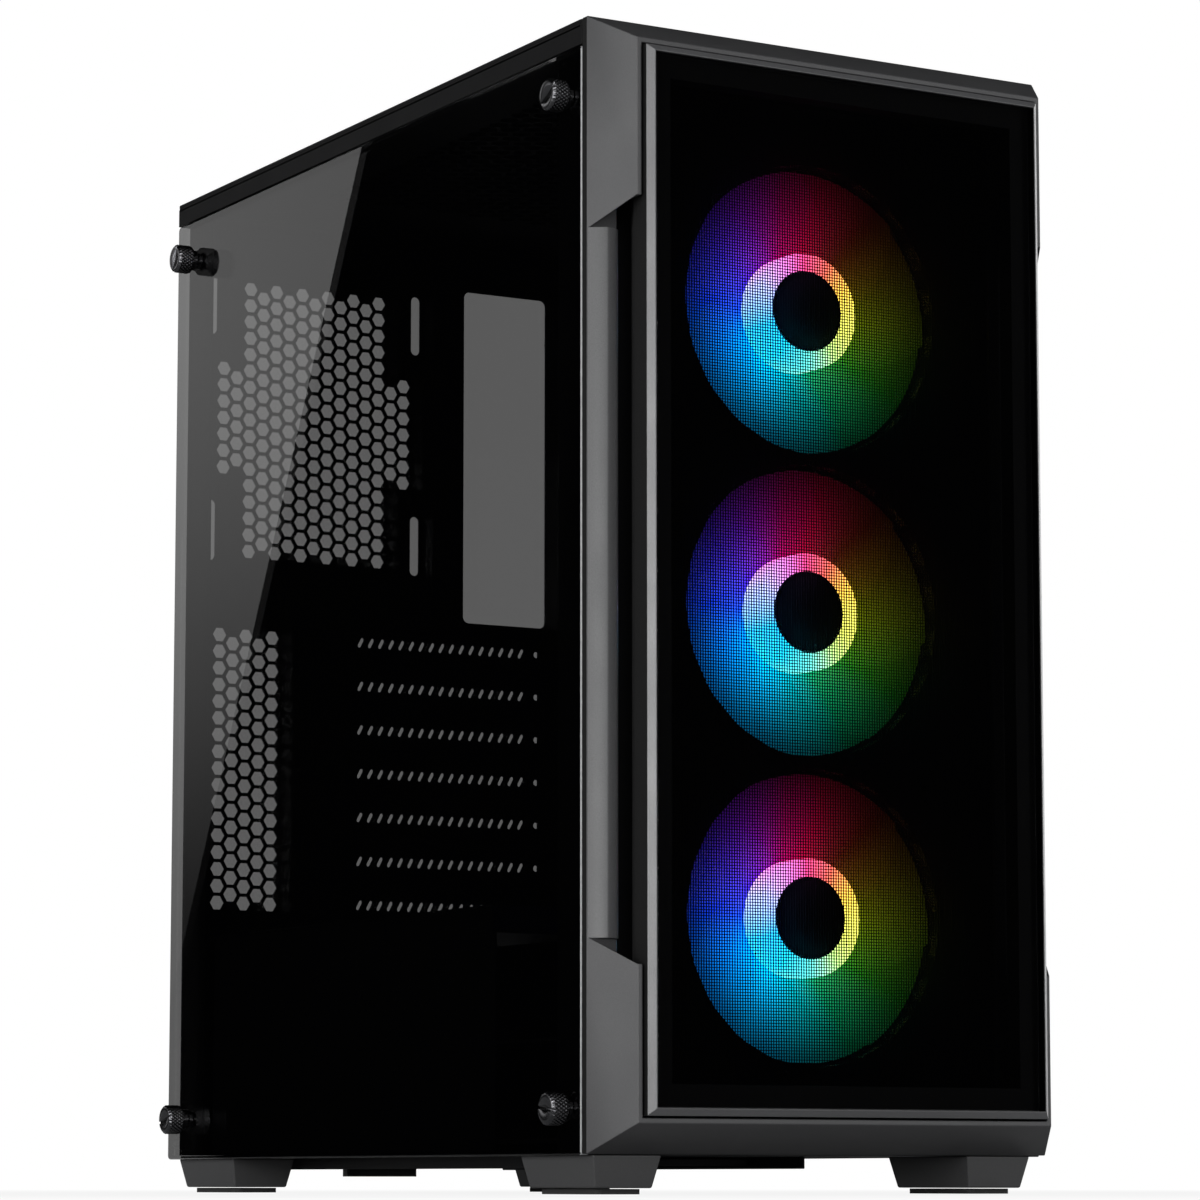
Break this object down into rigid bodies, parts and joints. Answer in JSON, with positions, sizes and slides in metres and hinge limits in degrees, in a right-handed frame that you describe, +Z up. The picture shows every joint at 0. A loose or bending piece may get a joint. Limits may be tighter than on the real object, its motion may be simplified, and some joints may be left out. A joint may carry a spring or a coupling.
{
  "type": "computer case",
  "caption": "Empty mid-tower computer case with glass side window, angular front with lit intake fans behind dark glass, and steel chassis.",
  "frame": {"origin": "middle of the bounding box, at the surface that the feet stand on", "axes": "+X right as seen from the front, +Y from front to back, +Z up"},
  "size_m": [0.22, 0.406, 0.45],
  "materials": {
    "black_steel": "black powder coat, satin",
    "bezel_plastic": "dark grey moulded plastic, fine grain",
    "black_plastic": "black moulded plastic",
    "lit_plastic": "frosted translucent plastic, lit in rainbow colours",
    "dark_glass": "dark tempered glass",
    "tinted_glass": "tinted tempered glass",
    "filter_mesh": "fine black dust mesh",
    "screw_steel": "black nickel, knurled",
    "bare_steel": "nickel plated",
    "pad_rubber": "soft black rubber",
    "circuit_board": "solder mask"
  },
  "bodies": {
    "chassis": {"floor_pan": "black_steel", "rear_panel": "black_steel", "front_frame": "black_steel", "motherboard_tray": "black_steel", "roof_panel": "black_steel", "supply_shroud": "black_steel", "drive_cage": "black_steel", "fan_frame_lower": "black_plastic", "fan_frame_middle": "black_plastic", "fan_frame_upper": "black_plastic", "window_post_front_upper": "screw_steel", "window_post_front_lower": "screw_steel", "window_post_rear_upper": "screw_steel", "window_post_rear_lower": "screw_steel", "slot_cover_1": "black_steel", "slot_cover_2": "black_steel", "slot_cover_3": "black_steel", "slot_cover_4": "black_steel", "slot_cover_5": "black_steel", "slot_cover_6": "black_steel", "slot_cover_7": "black_steel", "foot_front_left": "black_plastic", "foot_pad_front_left": "pad_rubber", "foot_front_right": "black_plastic", "foot_pad_front_right": "pad_rubber", "foot_rear_left": "black_plastic", "foot_pad_rear_left": "pad_rubber", "foot_rear_right": "black_plastic", "foot_pad_rear_right": "pad_rubber", "drive_bracket_lower": "black_plastic", "drive_bracket_upper": "black_plastic", "lighting_hub": "black_plastic", "control_housing": "black_plastic", "usb_port_1": "bare_steel", "usb_port_2": "bare_steel", "audio_jack": "black_plastic", "control_board": "circuit_board"},
    "front_panel": {"front_bezel": "bezel_plastic", "glass_frame": "bezel_plastic", "front_glass": "dark_glass", "front_filter": "filter_mesh"},
    "window": {"window_glass": "tinted_glass"},
    "right_side": {"right_panel": "black_steel"},
    "slot_retainer": {"slot_retainer": "black_steel"},
    "top_filter": {"top_filter": "filter_mesh"},
    "bottom_filter": {"bottom_filter": "filter_mesh"},
    "power_button": {"power_button": "black_plastic"},
    "reset_button": {"reset_button": "black_plastic"},
    "drive_tray_lower": {"drive_tray_lower": "black_plastic"},
    "drive_tray_upper": {"drive_tray_upper": "black_plastic"},
    "fan_rotor_lower": {"fan_rotor_lower": "lit_plastic"},
    "fan_rotor_middle": {"fan_rotor_middle": "lit_plastic"},
    "fan_rotor_upper": {"fan_rotor_upper": "lit_plastic"},
    "window_screw_front_upper": {"window_screw_front_upper": "screw_steel"},
    "window_screw_front_lower": {"window_screw_front_lower": "screw_steel"},
    "window_screw_rear_upper": {"window_screw_rear_upper": "screw_steel"},
    "window_screw_rear_lower": {"window_screw_rear_lower": "screw_steel"},
    "panel_screw_upper": {"panel_screw_upper": "screw_steel"},
    "panel_screw_lower": {"panel_screw_lower": "screw_steel"},
    "retainer_screw": {"retainer_screw": "screw_steel"}
  },
  "joints": [
    {"name": "front_panel_pull", "type": "slide", "parent": "chassis", "child": "front_panel", "axis": [0, -1, 0], "range_m": [0, 0.06]},
    {"name": "fan_spin_lower", "type": "hinge", "parent": "chassis", "child": "fan_rotor_lower", "pos_m": [0.005, -0.1619, 0.1065], "axis": [0, 1, 0], "continuous": true},
    {"name": "fan_spin_middle", "type": "hinge", "parent": "chassis", "child": "fan_rotor_middle", "pos_m": [0.005, -0.1619, 0.2265], "axis": [0, 1, 0], "continuous": true},
    {"name": "fan_spin_upper", "type": "hinge", "parent": "chassis", "child": "fan_rotor_upper", "pos_m": [0.005, -0.1619, 0.3465], "axis": [0, 1, 0], "continuous": true},
    {"name": "power_button_press", "type": "slide", "parent": "chassis", "child": "power_button", "axis": [0, 0, -1], "range_m": [0, 0.0015], "stiffness_N_per_m": 600, "springref_m": -0.0003},
    {"name": "reset_button_press", "type": "slide", "parent": "chassis", "child": "reset_button", "axis": [0, 0, -1], "range_m": [0, 0.0015], "stiffness_N_per_m": 400, "springref_m": -0.0003},
    {"name": "window_lift_off", "type": "slide", "parent": "chassis", "child": "window", "axis": [-1, 0, 0], "range_m": [0, 0.06]},
    {"name": "window_screw_front_upper_out", "type": "slide", "parent": "window", "child": "window_screw_front_upper", "axis": [-1, 0, 0], "range_m": [0, 0.014]},
    {"name": "window_screw_front_lower_out", "type": "slide", "parent": "window", "child": "window_screw_front_lower", "axis": [-1, 0, 0], "range_m": [0, 0.014]},
    {"name": "window_screw_rear_upper_out", "type": "slide", "parent": "window", "child": "window_screw_rear_upper", "axis": [-1, 0, 0], "range_m": [0, 0.014]},
    {"name": "window_screw_rear_lower_out", "type": "slide", "parent": "window", "child": "window_screw_rear_lower", "axis": [-1, 0, 0], "range_m": [0, 0.014]},
    {"name": "right_panel_slide", "type": "slide", "parent": "chassis", "child": "right_side", "axis": [0, 1, 0], "range_m": [0, 0.4]},
    {"name": "panel_screw_upper_out", "type": "slide", "parent": "right_side", "child": "panel_screw_upper", "axis": [0, 1, 0], "range_m": [0, 0.006]},
    {"name": "panel_screw_lower_out", "type": "slide", "parent": "right_side", "child": "panel_screw_lower", "axis": [0, 1, 0], "range_m": [0, 0.006]},
    {"name": "slot_retainer_pull", "type": "slide", "parent": "chassis", "child": "slot_retainer", "axis": [0, 1, 0], "range_m": [0, 0.02]},
    {"name": "retainer_screw_out", "type": "slide", "parent": "slot_retainer", "child": "retainer_screw", "axis": [0, 1, 0], "range_m": [0, 0.006]},
    {"name": "top_filter_lift", "type": "slide", "parent": "chassis", "child": "top_filter", "axis": [0, 0, 1], "range_m": [0, 0.06]},
    {"name": "bottom_filter_slide", "type": "slide", "parent": "chassis", "child": "bottom_filter", "axis": [0, 1, 0], "range_m": [0, 0.24]},
    {"name": "drive_tray_lower_slide", "type": "slide", "parent": "chassis", "child": "drive_tray_lower", "axis": [1, 0, 0], "range_m": [0, 0.012]},
    {"name": "drive_tray_upper_slide", "type": "slide", "parent": "chassis", "child": "drive_tray_upper", "axis": [1, 0, 0], "range_m": [0, 0.012]}
  ]
}
